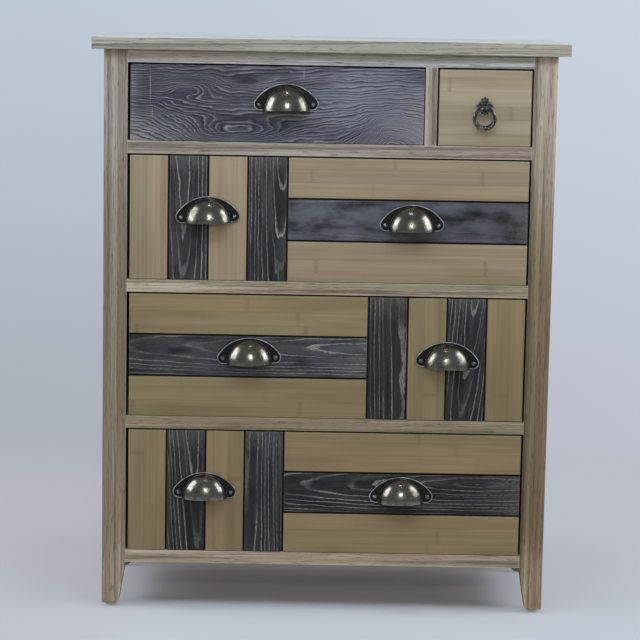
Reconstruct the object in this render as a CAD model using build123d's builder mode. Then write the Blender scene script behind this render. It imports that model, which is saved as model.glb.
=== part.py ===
from build123d import *
import os
from math import atan2, cos, degrees, radians, sin

# A small five-drawer chest on four tapered legs. Millimetres, X to the right, Y to the
# back, Z up from the floor. The chest stands on Z = 0, centred on X = 0 and Y = 0.

os.makedirs("parts", exist_ok=True)

# Outer sizes
top_width = 600.0
top_depth = 250.0
top_thickness = 16.0
overall_height = 734.0
front_overhang = 10.0
rear_overhang = 2.0
side_overhang = 15.0
top_round = 1.5

# Legs and rails
leg_size = 30.0
foot_width = 21.0
leg_round = 1.5
foot_chamfer = 1.5
rail_height = 16.0
rail_depth = 30.0
skirt_height = 60.0
row_heights = (160.0, 160.0, 160.0, 98.0)
tenon_length = 10.0
tenon_height = 8.0
tenon_depth = 18.0
divider_x = 126.5
divider_width = 15.0
divider_tenon = 5.0

# Foot glides
glide_height = 5.0
glide_radius = 7.5
glide_chamfer = 1.2
glide_pin_radius = 1.25
glide_pin_length = 12.0
glide_pin_end_gap = 0.5

# Panels and the inner frame
side_panel_thickness = 8.0
side_panel_inset = 6.0
panel_groove = 6.0
back_thickness = 3.0
back_rebate = 12.0
runner_ledge = 13.5
guide_height = 20.0
guide_play = 1.5
partition_thickness = 9.0
partition_runner_width = 40.0
stop_height = 25.0
stop_width = 12.0

# Drawers
front_left_gap = 3.5
front_right_gap = 2.5
front_top_gap = 2.25
front_bottom_gap = 0.5
divider_gap = 1.2
front_thickness = 15.0
slat_thickness = 6.0
slat_gap = 2.5
slat_edge = 0.8
upright_block = 198.0
upright_count = 4
level_count = 3
box_inset = 0.5
board_thickness = 9.0
housing_depth = 4.0
bottom_thickness = 3.0
bottom_lift = 8.0
tall_side = 120.0
low_side = 76.0
drawer_depth = 222.0

# Cup pulls
pull_width = 81.5
pull_height = 33.5
pull_projection = 20.0
ear_radius = 8.0
flange_thickness = 1.2
rim_width = 1.1
rim_thickness = 2.0
dome_half_width = 29.4
dome_height = 31.2
dome_wall = 1.4
screw_spacing = 66.6
screw_rise = 7.6
screw_head_radius = 3.0
screw_head_height = 1.9
screw_radius = 1.5
screw_length = 13.0
screw_point = 3.0
screw_hole_play = 0.05
pull_hole_play = 0.2

# Ring pull
ring_x = 193.8
ring_pivot_z = 652.0
ring_stand = 6.0
ring_radius = 12.7
ring_wire = 2.15
rope_turns = 7
rope_half_angle = 54.0
rope_radius = 3.2
rope_fade = 0.6
rope_inset = 1.0
rope_bead = 2.3
rope_lean = 24.0
rosette_rise = 2.9
rosette_radius = 9.3
rosette_plate = 1.6
rosette_lobes = 8
lobe_radius = 2.9
lobe_dome_radius = 2.4
lobe_height = 1.1
leaf_reach = 11.4
finial_reach = 12.6
leaf_spread = 7.0
middle_bead_z = 10.0
side_bead_x = 3.2
side_bead_z = 8.6
bead_radius = 1.3
bead_height = 1.2
boss_half_width = 4.4
boss_half_height = 6.2
boss_height = 1.5
boss_round = 1.2
eye_width = 5.0
eye_radius = 4.9
eye_round = 1.0
eye_play = 0.5
eye_shank_radius = 1.5
eye_shank_length = 22.5
nut_width = 6.0
nut_height = 2.6

# Length of a cutter that has to pass right through a piece
through_cut = 60.0

# Where things fall, worked out from the sizes above
carcass_width = top_width - 2 * side_overhang
carcass_depth = top_depth - front_overhang - rear_overhang
opening = carcass_width / 2 - leg_size
front_y = -(top_depth - front_overhang - pull_projection) / 2
rear_y = front_y + carcass_depth
front_leg_back = front_y + leg_size
rear_leg_front = rear_y - leg_size
back_panel_y = rear_y - back_thickness
leg_top = overall_height - top_thickness
panel_outer = carcass_width / 2 - side_panel_inset
panel_inner = panel_outer - side_panel_thickness
drawer_back_y = front_y + drawer_depth
guide_face = opening - guide_play
rail_levels = [skirt_height]
for row_height in row_heights:
    rail_levels.append(rail_levels[-1] + rail_height + row_height)


def board(x0, x1, y0, y1, z0, z1, mode=Mode.ADD):
    """One plain board between two corners, in the block that is open."""
    with Locations(((x0 + x1) / 2, (y0 + y1) / 2, (z0 + z1) / 2)):
        return Box(abs(x1 - x0), abs(y1 - y0), abs(z1 - z0), mode=mode)


def save(piece, label):
    piece.part.label = label
    export_step(piece.part, f"parts/{label}.step")


# ---------------------------------------------------------------- the top and the legs

with BuildPart() as table_top:
    top_front = front_y - front_overhang
    board(-top_width / 2, top_width / 2, top_front, top_front + top_depth, leg_top, overall_height)
    fillet(table_top.faces().sort_by(Axis.Z)[-1].edges(), top_round)
    chamfer(table_top.faces().sort_by(Axis.Z)[0].edges(), top_round / 2)
save(table_top, "table_top")


def make_leg(label, side, is_front):
    """A square post whose inner face tapers in below the bottom rail."""
    outer = side * carcass_width / 2
    inner = side * opening
    foot_inner = outer - side * foot_width
    y0 = front_y if is_front else rear_leg_front
    y1 = y0 + leg_size
    with BuildPart() as leg:
        with BuildSketch(Plane.XZ.offset(-y1)):
            with BuildLine():
                Polyline(
                    (outer, glide_height),
                    (foot_inner, glide_height),
                    (inner, skirt_height),
                    (inner, leg_top),
                    (outer, leg_top),
                    close=True,
                )
            make_face()
        extrude(amount=leg_size)
        chamfer(leg.faces().sort_by(Axis.Z)[0].edges(), foot_chamfer)
        outer_face = leg.faces().filter_by(Axis.X).sort_by(Axis.X)[-1 if side > 0 else 0]
        fillet(outer_face.edges().filter_by(Axis.Z), leg_round)
        # groove for the side panel, in the face that looks at the other leg
        groove_y = (y1 - panel_groove, y1) if is_front else (y0, y0 + panel_groove)
        board(side * panel_outer, side * panel_inner, *groove_y, skirt_height, leg_top, mode=Mode.SUBTRACT)
        # mortises for the rails that meet this leg
        levels = rail_levels if is_front else (rail_levels[0], rail_levels[3], rail_levels[4])
        y_mid = front_y + rail_depth / 2 if is_front else (rear_leg_front + back_panel_y) / 2
        for z in levels:
            with Locations((inner + side * tenon_length / 2, y_mid, z + rail_height / 2)):
                Box(tenon_length, tenon_depth, tenon_height, mode=Mode.SUBTRACT)
        if not is_front:
            rebate = inner + side * back_rebate
            board(inner, rebate, back_panel_y, rear_y, skirt_height, leg_top, mode=Mode.SUBTRACT)
        # hole for the pin of the foot glide
        with Locations((outer - side * foot_width / 2, (y0 + y1) / 2, glide_height)):
            Cylinder(glide_pin_radius + screw_hole_play, 2 * glide_pin_length, mode=Mode.SUBTRACT)
    save(leg, label)


make_leg("front_left_leg", -1, True)
make_leg("front_right_leg", 1, True)
make_leg("rear_left_leg", -1, False)
make_leg("rear_right_leg", 1, False)

# Nail-on glides, a turned disc with its pin
with BuildPart() as foot_glides:
    foot_x = carcass_width / 2 - foot_width / 2
    foot_y = (front_y + leg_size / 2, rear_leg_front + leg_size / 2)
    pin_length = glide_pin_length - glide_pin_end_gap
    with Locations(*[(x, y, 0) for x in (-foot_x, foot_x) for y in foot_y]):
        Cylinder(glide_radius, glide_height, align=(Align.CENTER, Align.CENTER, Align.MIN))
    chamfer(foot_glides.faces().filter_by(Axis.Z).group_by(Axis.Z)[0].edges(), glide_chamfer)
    with Locations(*[(x, y, glide_height) for x in (-foot_x, foot_x) for y in foot_y]):
        Cylinder(glide_pin_radius, pin_length, align=(Align.CENTER, Align.CENTER, Align.MIN))
save(foot_glides, "foot_glides")

# ------------------------------------------------------------------ rails and panels

divider_left = divider_x - divider_width / 2
divider_right = divider_x + divider_width / 2


def make_rail(label, z, y0, depth, divider_side=0):
    """A rail between two legs, with a stub tenon on each end."""
    middle = (y0 + depth / 2, z + rail_height / 2)
    with BuildPart() as rail:
        with BuildSketch(Plane.YZ):
            with Locations(middle):
                Rectangle(depth, rail_height)
        extrude(amount=opening, both=True)
        with BuildSketch(Plane.YZ):
            with Locations(middle):
                Rectangle(tenon_depth, tenon_height)
        extrude(amount=opening + tenon_length, both=True)
        if divider_side:
            mortise_z = z + rail_height / 2 + divider_side * (rail_height - divider_tenon) / 2
            with Locations((divider_x, middle[0], mortise_z)):
                Box(tenon_height, tenon_depth, divider_tenon, mode=Mode.SUBTRACT)
    save(rail, label)


make_rail("bottom_front_rail", rail_levels[0], front_y, rail_depth)
make_rail("front_rail_3", rail_levels[1], front_y, rail_depth)
make_rail("front_rail_2", rail_levels[2], front_y, rail_depth)
make_rail("front_rail_1", rail_levels[3], front_y, rail_depth, divider_side=1)
make_rail("top_front_rail", rail_levels[4], front_y, rail_depth, divider_side=-1)

with BuildPart() as rear_rails:
    rear_rail_depth = back_panel_y - rear_leg_front
    for z in (rail_levels[0], rail_levels[3], rail_levels[4]):
        with Locations((0, (rear_leg_front + back_panel_y) / 2, z + rail_height / 2)):
            Box(2 * opening, rear_rail_depth, rail_height)
            Box(2 * (opening + tenon_length), tenon_depth, tenon_height)
save(rear_rails, "rear_rails")

with BuildPart() as drawer_divider:
    stile_low = rail_levels[3] + rail_height
    stile_high = rail_levels[4]
    with BuildSketch(Plane.XY.offset(stile_low)):
        with Locations((divider_x, front_y + rail_depth / 2)):
            Rectangle(divider_width, rail_depth)
    extrude(amount=stile_high - stile_low)
    with BuildSketch(Plane.XY.offset(stile_low - divider_tenon)):
        with Locations((divider_x, front_y + rail_depth / 2)):
            Rectangle(tenon_height, tenon_depth)
    extrude(amount=stile_high - stile_low + 2 * divider_tenon)
save(drawer_divider, "drawer_divider")

for label, side in (("left_side_panel", -1), ("right_side_panel", 1)):
    with BuildPart() as side_panel:
        panel_front = front_leg_back - panel_groove
        panel_back = rear_leg_front + panel_groove
        board(side * panel_inner, side * panel_outer, panel_front, panel_back, skirt_height, leg_top)
    save(side_panel, label)

with BuildPart() as back_panel:
    back_half = opening + back_rebate
    board(-back_half, back_half, back_panel_y, rear_y, skirt_height, leg_top)
save(back_panel, "back_panel")

with BuildPart() as top_partition:
    partition_half = partition_thickness / 2
    board(
        divider_x - partition_half,
        divider_x + partition_half,
        front_leg_back,
        rear_leg_front,
        rail_levels[3] + rail_height,
        leg_top,
    )
save(top_partition, "top_partition")

with BuildPart() as partition_runner:
    runner_half = partition_runner_width / 2
    runner_x = (divider_x - runner_half, divider_x + runner_half)
    board(*runner_x, front_leg_back, rear_leg_front, rail_levels[3], rail_levels[3] + rail_height)
save(partition_runner, "partition_runner")

# A runner is one L-shaped length: the ledge that carries a drawer's side and the guide
# that keeps it straight.
for label, side in (("left_runners", -1), ("right_runners", 1)):
    with BuildPart() as runners:
        for z in rail_levels[:-1]:
            with BuildSketch(Plane.XZ.offset(-rear_leg_front)):
                with BuildLine():
                    Polyline(
                        (side * panel_inner, z),
                        (side * (guide_face - runner_ledge), z),
                        (side * (guide_face - runner_ledge), z + rail_height),
                        (side * guide_face, z + rail_height),
                        (side * guide_face, z + rail_height + guide_height),
                        (side * panel_inner, z + rail_height + guide_height),
                        close=True,
                    )
                make_face()
            extrude(amount=rear_leg_front - front_leg_back)
    save(runners, label)

with BuildPart() as top_kickers:
    for side in (-1, 1):
        kicker_x = (side * panel_inner, side * (guide_face - runner_ledge))
        board(*kicker_x, front_leg_back, rear_leg_front, rail_levels[4], leg_top)
save(top_kickers, "top_kickers")

# Blocks on the rear legs, where the drawers' sides stop with their fronts flush
with BuildPart() as drawer_stops:
    for z in rail_levels[:-1]:
        for side in (-1, 1):
            stop_x = (side * (opening - stop_width), side * opening)
            stop_z = z + rail_height
            board(*stop_x, drawer_back_y, back_panel_y, stop_z, stop_z + stop_height)
save(drawer_stops, "drawer_stops")

# ------------------------------------------------------------------------ cup pulls
# A pull is modelled with the middle of its lower edge at the origin and the drawer's
# front in the plane Y = 0. Its places turn and shift it.

ear_x = pull_width / 2 - ear_radius
crown_span = ear_x**2 + (pull_height - ear_radius) ** 2 - ear_radius**2
crown_radius = crown_span / (2 * (pull_height - 2 * ear_radius))
crown_z = pull_height - crown_radius
touch_angle = degrees(atan2(ear_radius - crown_z, ear_x))
screw_offsets = [(side * screw_spacing / 2, 0, screw_rise) for side in (-1, 1)]


# The flange's outline: a crown arc, two round ears tangent to it and the straight lower edge
with BuildLine() as flange_outline:
    Line((-ear_x, 0), (ear_x, 0))
    CenterArc((ear_x, ear_radius), ear_radius, -90, 90 + touch_angle)
    CenterArc((0, crown_z), crown_radius, touch_angle, 180 - 2 * touch_angle)
    CenterArc((-ear_x, ear_radius), ear_radius, 180 - touch_angle, 90 + touch_angle)

# The shell is a quarter of an ellipsoid, open below and behind
dome_size = (dome_half_width, pull_projection, dome_height)
inner_size = tuple(size - dome_wall for size in dome_size)
quarter_ball = Sphere(1, arc_size1=0, arc_size3=180, rotation=(0, 0, 180), align=None)
dome_outside = scale(quarter_ball, by=dome_size)
dome_inside = scale(Sphere(1), by=inner_size)

with BuildPart() as cup:
    with BuildSketch(Plane.XZ):
        make_face(flange_outline.edges())
    extrude(amount=rim_thickness)
    with BuildSketch(Plane.XZ.offset(flange_thickness)):
        make_face(flange_outline.edges())
        offset(amount=-rim_width, mode=Mode.REPLACE)
    extrude(amount=rim_thickness, mode=Mode.SUBTRACT)
    add(dome_outside)
    add(dome_inside, mode=Mode.SUBTRACT)
    with Locations(*screw_offsets):
        hole_radius = screw_radius + pull_hole_play
        Cylinder(hole_radius, through_cut, rotation=(90, 0, 0), mode=Mode.SUBTRACT)

# A round-headed wood screw, its head on the pull's flange
with BuildPart() as pull_screw:
    with BuildSketch(Plane.XY):
        head_y = -flange_thickness - screw_head_height
        head_curve = (screw_head_radius**2 + screw_head_height**2) / (2 * screw_head_height)
        with BuildLine():
            seat = Line((screw_head_radius, -flange_thickness), (screw_radius, -flange_thickness))
            Polyline(
                seat @ 1,
                (screw_radius, screw_length - screw_point),
                (0, screw_length),
                (0, head_y),
            )
            RadiusArc((0, head_y), seat @ 0, -head_curve)
        make_face()
    revolve(axis=Axis.Y)


def pull_places(places):
    """Places of cup pulls, each given as middle X, top Z and clockwise tilt in degrees."""
    return [Location((x, front_y, top_z - pull_height), (0, tilt, 0)) for x, top_z, tilt in places]


def make_pulls(prefix, places, pulls_name):
    with BuildPart() as pulls:
        with Locations(*places):
            add(cup.part)
    save(pulls, f"{prefix}_{pulls_name}")
    with BuildPart() as screws:
        with Locations(*places):
            with Locations(*screw_offsets):
                add(pull_screw.part)
    save(screws, f"{prefix}_pull_screws")


def drill_for_screws(places):
    """Pilot holes for the screws of the pulls, in whatever piece is open."""
    with Locations(*places):
        with Locations(*screw_offsets):
            depth = 2 * (screw_length + screw_hole_play)
            Cylinder(screw_radius + screw_hole_play, depth, rotation=(90, 0, 0), mode=Mode.SUBTRACT)


# --------------------------------------------------------------------------- drawers


def house_box(box_x, z, side_height, front_back_y):
    """Housings for the sides and a groove for the bottom, in the back of a front."""
    for edge, inward in ((box_x[0], 1), (box_x[1], -1)):
        housing_x = (edge, edge + inward * board_thickness)
        housing_y = (front_back_y - housing_depth, front_back_y)
        board(*housing_x, *housing_y, z, z + side_height, mode=Mode.SUBTRACT)
    groove_x = (box_x[0] + board_thickness, box_x[1] - board_thickness)
    groove_z = (z + bottom_lift, z + bottom_lift + bottom_thickness)
    board(*groove_x, front_back_y - housing_depth, front_back_y, *groove_z, mode=Mode.SUBTRACT)


def make_box(prefix, box_x, z, side_height):
    """Two sides, a back above the bottom and the bottom in its grooves."""
    front_back_y = front_y + front_thickness
    side_front = front_back_y - housing_depth
    groove_z = (z + bottom_lift, z + bottom_lift + bottom_thickness)
    inner_x = (box_x[0] + board_thickness, box_x[1] - board_thickness)
    bottom_x = (inner_x[0] - housing_depth, inner_x[1] + housing_depth)
    with BuildPart() as sides:
        board(box_x[0], inner_x[0], side_front, drawer_back_y, z, z + side_height)
        board(inner_x[1], box_x[1], side_front, drawer_back_y, z, z + side_height)
        board(*bottom_x, side_front, drawer_back_y, *groove_z, mode=Mode.SUBTRACT)
        # rebates for the back
        back_x = (inner_x[0] - housing_depth, inner_x[1] + housing_depth)
        back_y = (drawer_back_y - board_thickness, drawer_back_y)
        board(*back_x, *back_y, groove_z[1], z + side_height, mode=Mode.SUBTRACT)
    save(sides, f"{prefix}_sides")
    with BuildPart() as back:
        board(*back_x, *back_y, groove_z[1], z + side_height)
    save(back, f"{prefix}_back")
    with BuildPart() as bottom:
        board(*bottom_x, side_front, drawer_back_y, *groove_z)
    save(bottom, f"{prefix}_bottom")


def front_height(row):
    return row_heights[row] - front_top_gap - front_bottom_gap


def make_plain_drawer(prefix, front_x, places=()):
    """A top-row drawer with a front of one solid board."""
    z = rail_levels[3] + rail_height
    box_x = (front_x[0] + box_inset, front_x[1] - box_inset)
    front_low = z + front_bottom_gap
    with BuildPart() as front:
        front_back_y = front_y + front_thickness
        board(*front_x, front_y, front_back_y, front_low, front_low + front_height(3))
        fillet(front.faces().sort_by(Axis.Y)[0].edges(), slat_edge)
        house_box(box_x, z, low_side, front_back_y)
        if places:
            drill_for_screws(places)
        else:
            with Locations((ring_x, front_y, ring_pivot_z)):
                shank_hole = eye_shank_radius + screw_hole_play
                Cylinder(shank_hole, through_cut, rotation=(90, 0, 0), mode=Mode.SUBTRACT)
    save(front, f"{prefix}_front")
    make_box(prefix, box_x, z, low_side)


def slat_layout(row, mirrored):
    """Middle and size of each slat, as (is_dark, x, z, width, height)."""
    left = -opening + front_left_gap
    right = opening - front_right_gap
    low = rail_levels[row] + rail_height + front_bottom_gap
    height = front_height(row)
    upright_width = (upright_block - (upright_count - 1) * slat_gap) / upright_count
    level_height = (height - (level_count - 1) * slat_gap) / level_count
    level_width = right - left - upright_block - slat_gap
    slats = []
    for i in range(upright_count):
        from_edge = upright_width / 2 + i * (upright_width + slat_gap)
        x = right - from_edge if mirrored else left + from_edge
        slats.append((i % 2 == 1, x, low + height / 2, upright_width, height))
    for i in range(level_count):
        x = left + level_width / 2 if mirrored else right - level_width / 2
        z = low + level_height / 2 + i * (level_height + slat_gap)
        slats.append((i % 2 == 1, x, z, level_width, level_height))
    return slats


def make_slatted_drawer(prefix, row, mirrored, places):
    """A full-width drawer: black board, two kinds of slats on it, box and two pulls."""
    z = rail_levels[row] + rail_height
    front_x = (-opening + front_left_gap, opening - front_right_gap)
    box_x = (front_x[0] + box_inset, front_x[1] - box_inset)
    front_low = z + front_bottom_gap
    slat_back = front_y + slat_thickness
    with BuildPart() as front_board:
        front_back_y = front_y + front_thickness
        board(*front_x, slat_back, front_back_y, front_low, front_low + front_height(row))
        house_box(box_x, z, tall_side, front_back_y)
        drill_for_screws(places)
    save(front_board, f"{prefix}_front_board")
    for finish in ("bamboo", "dark"):
        with BuildPart() as slats:
            for is_dark, x, middle_z, width, height in slat_layout(row, mirrored):
                if is_dark == (finish == "dark"):
                    with BuildSketch(Plane.XZ.offset(-slat_back)):
                        with Locations((x, middle_z)):
                            Rectangle(width, height)
                    extrude(amount=slat_thickness)
            chamfer(slats.faces().filter_by(Axis.Y).group_by(Axis.Y)[0].edges(), slat_edge)
            drill_for_screws(places)
        save(slats, f"{prefix}_{finish}_slats")
    make_box(prefix, box_x, z, tall_side)
    make_pulls(prefix, places, "cup_pulls")


# Pulls by row from the bottom: middle X, top Z, clockwise tilt
lower_pulls = pull_places([(-153.2, 179.6, -0.2), (99.7, 177.6, -0.7)])
middle_pulls = pull_places([(-97.8, 355.3, -1.6), (154.5, 354.2, 2.0)])
upper_pulls = pull_places([(-152.5, 535.0, -2.0), (105.8, 528.7, -0.5)])
wide_pull = pull_places([(-55.6, 678.4, -1.0)])

make_slatted_drawer("lower_drawer", 0, False, lower_pulls)
make_slatted_drawer("middle_drawer", 1, True, middle_pulls)
make_slatted_drawer("upper_drawer", 2, False, upper_pulls)

make_plain_drawer("wide_drawer", (-opening + front_left_gap, divider_left - divider_gap), wide_pull)
make_pulls("wide_drawer", wide_pull, "cup_pull")
make_plain_drawer("small_drawer", (divider_right + 2 * divider_gap, opening - front_right_gap))

# ------------------------------------------------------------------------- ring pull
# The rosette lies on the small drawer's front. An eye bolt goes through both and holds
# the ring, which swings about the middle of its own wire at the top.

pivot = (ring_x, front_y - ring_stand, ring_pivot_z)


def facing_front(origin):
    """A plane that looks out of the drawer's front, with its X to the right."""
    return Plane(origin, x_dir=(1, 0, 0), z_dir=(0, -1, 0))


half_ball = Sphere(1, arc_size1=0, align=None)
lobe_dome = scale(half_ball, by=(lobe_dome_radius, lobe_dome_radius, lobe_height))
bead_dome = scale(half_ball, by=(bead_radius, bead_radius, bead_height))
lobe_circle = rosette_radius - lobe_radius
lobe_start = 180 / rosette_lobes
beads = [(0, middle_bead_z), (-side_bead_x, side_bead_z), (side_bead_x, side_bead_z)]
beads += [(x, -z) for x, z in beads]

with BuildPart() as ring_rosette:
    # a scalloped disc with four points: a leaf to each side, a finial above and a drop below
    with BuildSketch(facing_front((ring_x, front_y, ring_pivot_z + rosette_rise))):
        Circle(lobe_circle)
        with PolarLocations(lobe_circle, rosette_lobes, start_angle=lobe_start):
            Circle(lobe_radius)
        Polygon((leaf_reach, 0), (0, leaf_spread), (-leaf_reach, 0), (0, -leaf_spread), align=None)
        Polygon((leaf_spread, 0), (0, finial_reach), (-leaf_spread, 0), (0, -finial_reach), align=None)
        with Locations(*beads):
            Circle(bead_radius)
    extrude(amount=rosette_plate)
    # the oval pad that the eye stands on
    with BuildSketch(facing_front((ring_x, front_y - rosette_plate, ring_pivot_z))):
        Ellipse(boss_half_width, boss_half_height)
    extrude(amount=boss_height)
    fillet(ring_rosette.faces().sort_by(Axis.Y)[0].edges(), boss_round)
    # a domed lobe on each scallop, three beads above and three below
    with Locations(facing_front((ring_x, front_y - rosette_plate, ring_pivot_z + rosette_rise))):
        with PolarLocations(lobe_circle, rosette_lobes, start_angle=lobe_start):
            add(lobe_dome)
        with Locations(*beads):
            add(bead_dome)
    with Locations((ring_x, front_y, ring_pivot_z)):
        shank_hole = eye_shank_radius + screw_hole_play
        Cylinder(shank_hole, through_cut, rotation=(90, 0, 0), mode=Mode.SUBTRACT)
save(ring_rosette, "ring_rosette")

# The eye's head is a round lug on a neck, and its shank runs through rosette and front
neck_y = front_y - rosette_plate - boss_height
with BuildPart() as ring_eye:
    with BuildSketch(Plane.YZ.offset(ring_x)):
        with Locations((pivot[1], ring_pivot_z)):
            Circle(eye_radius)
        with Locations((neck_y, ring_pivot_z)):
            Rectangle(through_cut, through_cut, align=(Align.MIN, Align.CENTER), mode=Mode.SUBTRACT)
    extrude(amount=eye_width / 2, both=True)
    fillet(ring_eye.edges().filter_by(GeomType.CIRCLE), eye_round)
    with Locations((ring_x, neck_y + eye_shank_length / 2, ring_pivot_z)):
        Cylinder(eye_shank_radius, eye_shank_length, rotation=(90, 0, 0))
    with Locations(pivot):
        Cylinder(ring_wire + eye_play, through_cut, rotation=(0, 90, 0), mode=Mode.SUBTRACT)
save(ring_eye, "ring_eye")

with BuildPart() as eye_nut:
    with BuildSketch(Plane.XZ.offset(-(front_y + front_thickness + nut_height))):
        with Locations((ring_x, ring_pivot_z)):
            RegularPolygon(nut_width / 2, 6, major_radius=False)
            Circle(eye_shank_radius + screw_hole_play, mode=Mode.SUBTRACT)
    extrude(amount=nut_height)
save(eye_nut, "eye_nut")

# The ring is round wire with a cast rope along the bottom, one leaning bead for each turn
ring_centre = (ring_x, pivot[1], ring_pivot_z - ring_radius)
rope_line = ring_radius - rope_inset


def rope_turn(swell):
    """One turn of the rope, an ellipse revolved about its own length."""
    with BuildPart() as turn:
        with BuildSketch():
            Ellipse(rope_bead, swell)
            Rectangle(through_cut, through_cut, align=(Align.CENTER, Align.MAX), mode=Mode.SUBTRACT)
        revolve(axis=Axis.X)
    return turn.part


rope_turns_placed = []
for i in range(rope_turns):
    along = 2 * i / (rope_turns - 1) - 1
    angle = -90 + rope_half_angle * along
    spot = (rope_line * cos(radians(angle)), rope_line * sin(radians(angle)), 0)
    turn_place = Location(spot, (0, 0, angle + 90 + rope_lean))
    rope_turns_placed.append(turn_place * rope_turn(rope_radius - rope_fade * abs(along)))

with BuildPart() as pull_ring:
    with Locations(facing_front(ring_centre)):
        Torus(ring_radius, ring_wire)
        for turn in rope_turns_placed:
            add(turn)
save(pull_ring, "pull_ring")
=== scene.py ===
import math
import bmesh
import bpy
from mathutils import Matrix, Vector


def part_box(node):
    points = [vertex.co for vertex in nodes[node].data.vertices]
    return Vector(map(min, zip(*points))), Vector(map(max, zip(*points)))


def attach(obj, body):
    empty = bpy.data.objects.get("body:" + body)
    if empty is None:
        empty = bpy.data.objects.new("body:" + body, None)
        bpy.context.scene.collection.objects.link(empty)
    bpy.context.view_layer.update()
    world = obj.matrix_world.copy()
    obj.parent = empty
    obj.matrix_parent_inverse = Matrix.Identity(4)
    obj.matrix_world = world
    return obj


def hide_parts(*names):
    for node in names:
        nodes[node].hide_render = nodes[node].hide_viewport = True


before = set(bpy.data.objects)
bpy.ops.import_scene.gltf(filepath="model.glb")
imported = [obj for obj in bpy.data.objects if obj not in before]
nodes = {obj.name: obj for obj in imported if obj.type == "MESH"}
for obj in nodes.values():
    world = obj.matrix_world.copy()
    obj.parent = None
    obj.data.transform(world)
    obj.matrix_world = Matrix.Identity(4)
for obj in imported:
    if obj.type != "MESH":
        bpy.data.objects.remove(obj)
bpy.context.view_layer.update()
print("frame loaded,", len(nodes), "nodes")

# small helpers for picking, selecting and shader nodes


def pick(*things):
    bpy.ops.object.select_all(action="DESELECT")
    for thing in things:
        thing.select_set(True)
    bpy.context.view_layer.objects.active = things[0]
    return things[0]


def settle(thing, name):
    # place, turn and scale go into the mesh, and the object stays at the origin
    pick(thing)
    bpy.ops.object.transform_apply(location=True, rotation=True, scale=True)
    thing.name = name
    thing.data.name = name
    return thing


def selectWhere(thing, test, domain="FACE"):
    # leaves the object in edit mode with the faces or edges that pass the test selected
    pick(thing)
    bpy.ops.object.mode_set(mode="EDIT")
    bpy.ops.mesh.select_mode(type=domain)
    bpy.ops.mesh.select_all(action="DESELECT")
    mesh = bmesh.from_edit_mesh(thing.data)
    for part in {"FACE": mesh.faces, "EDGE": mesh.edges}[domain]:
        if test(part):
            part.select_set(True)
    mesh.select_flush_mode()
    bmesh.update_edit_mesh(thing.data)


def objectMode():
    bpy.ops.object.mode_set(mode="OBJECT")


def wire(tree, socket, value):
    if isinstance(value, bpy.types.NodeSocket):
        tree.links.new(value, socket)
    else:
        socket.default_value = value


def put(tree, kind, inputs=None, **settings):
    made = tree.nodes.new("ShaderNode" + kind)
    for key, value in settings.items():
        setattr(made, key, value)
    for key, value in (inputs or {}).items():
        wire(tree, made.inputs[key], value)
    return made


def calc(tree, operation, *values):
    made = put(tree, "Math", operation=operation)
    for socket, value in zip(made.inputs, values):
        wire(tree, socket, value)
    return made.outputs[0]


def vecCalc(tree, operation, *values):
    made = put(tree, "VectorMath", operation=operation)
    for socket, value in zip(made.inputs, values):
        wire(tree, socket, value)
    return made.outputs["Value" if operation in ("LENGTH", "DOT_PRODUCT") else "Vector"]


def split(tree, vector):
    return put(tree, "SeparateXYZ", {"Vector": vector}).outputs


def splitColor(tree, color):
    return put(tree, "SeparateColor", {"Color": color}).outputs


def ownPlace(tree):
    return put(tree, "TexCoord").outputs["Object"]


def ramp(tree, value, low, high, to=(0.0, 1.0)):
    # smooth step from low to high, or down where to is given the other way round
    made = put(tree, "MapRange", {"Value": value, "From Min": low, "From Max": high, "To Min": to[0],
                                  "To Max": to[1]}, interpolation_type="SMOOTHSTEP")
    return made.outputs["Result"]


def mix(tree, amount, first, second, blend="MIX"):
    made = put(tree, "Mix", data_type="RGBA", blend_type=blend)
    wire(tree, made.inputs["Factor"], amount)
    for socket, value in ((made.inputs[6], first), (made.inputs[7], second)):
        wire(tree, socket, value if isinstance(value, bpy.types.NodeSocket) else (*value, 1.0))
    return made.outputs[2]


def lay(tree, body, color, value, blend):
    # a colour over the body where the value is high. blend says where it starts and ends to grow, and
    # the colour's share at both
    return mix(tree, ramp(tree, value, *blend), body, color)


def tinted(tree, body, tint):
    return mix(tree, 1.0, body, tint, "MULTIPLY")


def times(tree, *values):
    product = values[0]
    for value in values[1:]:
        product = calc(tree, "MULTIPLY", product, value)
    return product


def noise(tree, place, scale=1.0, detail=2.0, rough=0.5, **settings):
    made = put(tree, "TexNoise", {"Scale": scale, "Detail": detail, "Roughness": rough}, **settings)
    wire(tree, made.inputs["W" if settings.get("noise_dimensions") == "1D" else "Vector"], place)
    return made.outputs


def grain(tree, place, scales, detail=2.0, rough=0.5):
    # noise with its own scale across, in and along the board
    return noise(tree, vecCalc(tree, "MULTIPLY", place, scales), 1.0, detail, rough)


def centred(tree, color):
    # a noise colour as a push either way
    return vecCalc(tree, "SUBTRACT", color, (0.5, 0.5, 0.5))


def dice(tree, value):
    # a random value and colour, the same for the same number
    return put(tree, "TexWhiteNoise", {"W": value}, noise_dimensions="1D").outputs


def newGroup(name, takes, gives):
    tree = bpy.data.node_groups.new(name, "ShaderNodeTree")
    for label, kind, value in takes:
        socket = tree.interface.new_socket(name=label, in_out="INPUT", socket_type="NodeSocket" + kind)
        if value is not None:
            socket.default_value = value
    for label in gives:
        tree.interface.new_socket(name=label, in_out="OUTPUT", socket_type="NodeSocketFloat")
    return tree, tree.nodes.new("NodeGroupInput").outputs, tree.nodes.new("NodeGroupOutput").inputs


def useGroup(tree, group, place, inputs):
    made = tree.nodes.new("ShaderNodeGroup")
    made.node_tree = group
    for key, value in {"Place": place, **inputs}.items():
        wire(tree, made.inputs[key], value)
    return made.outputs


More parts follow.
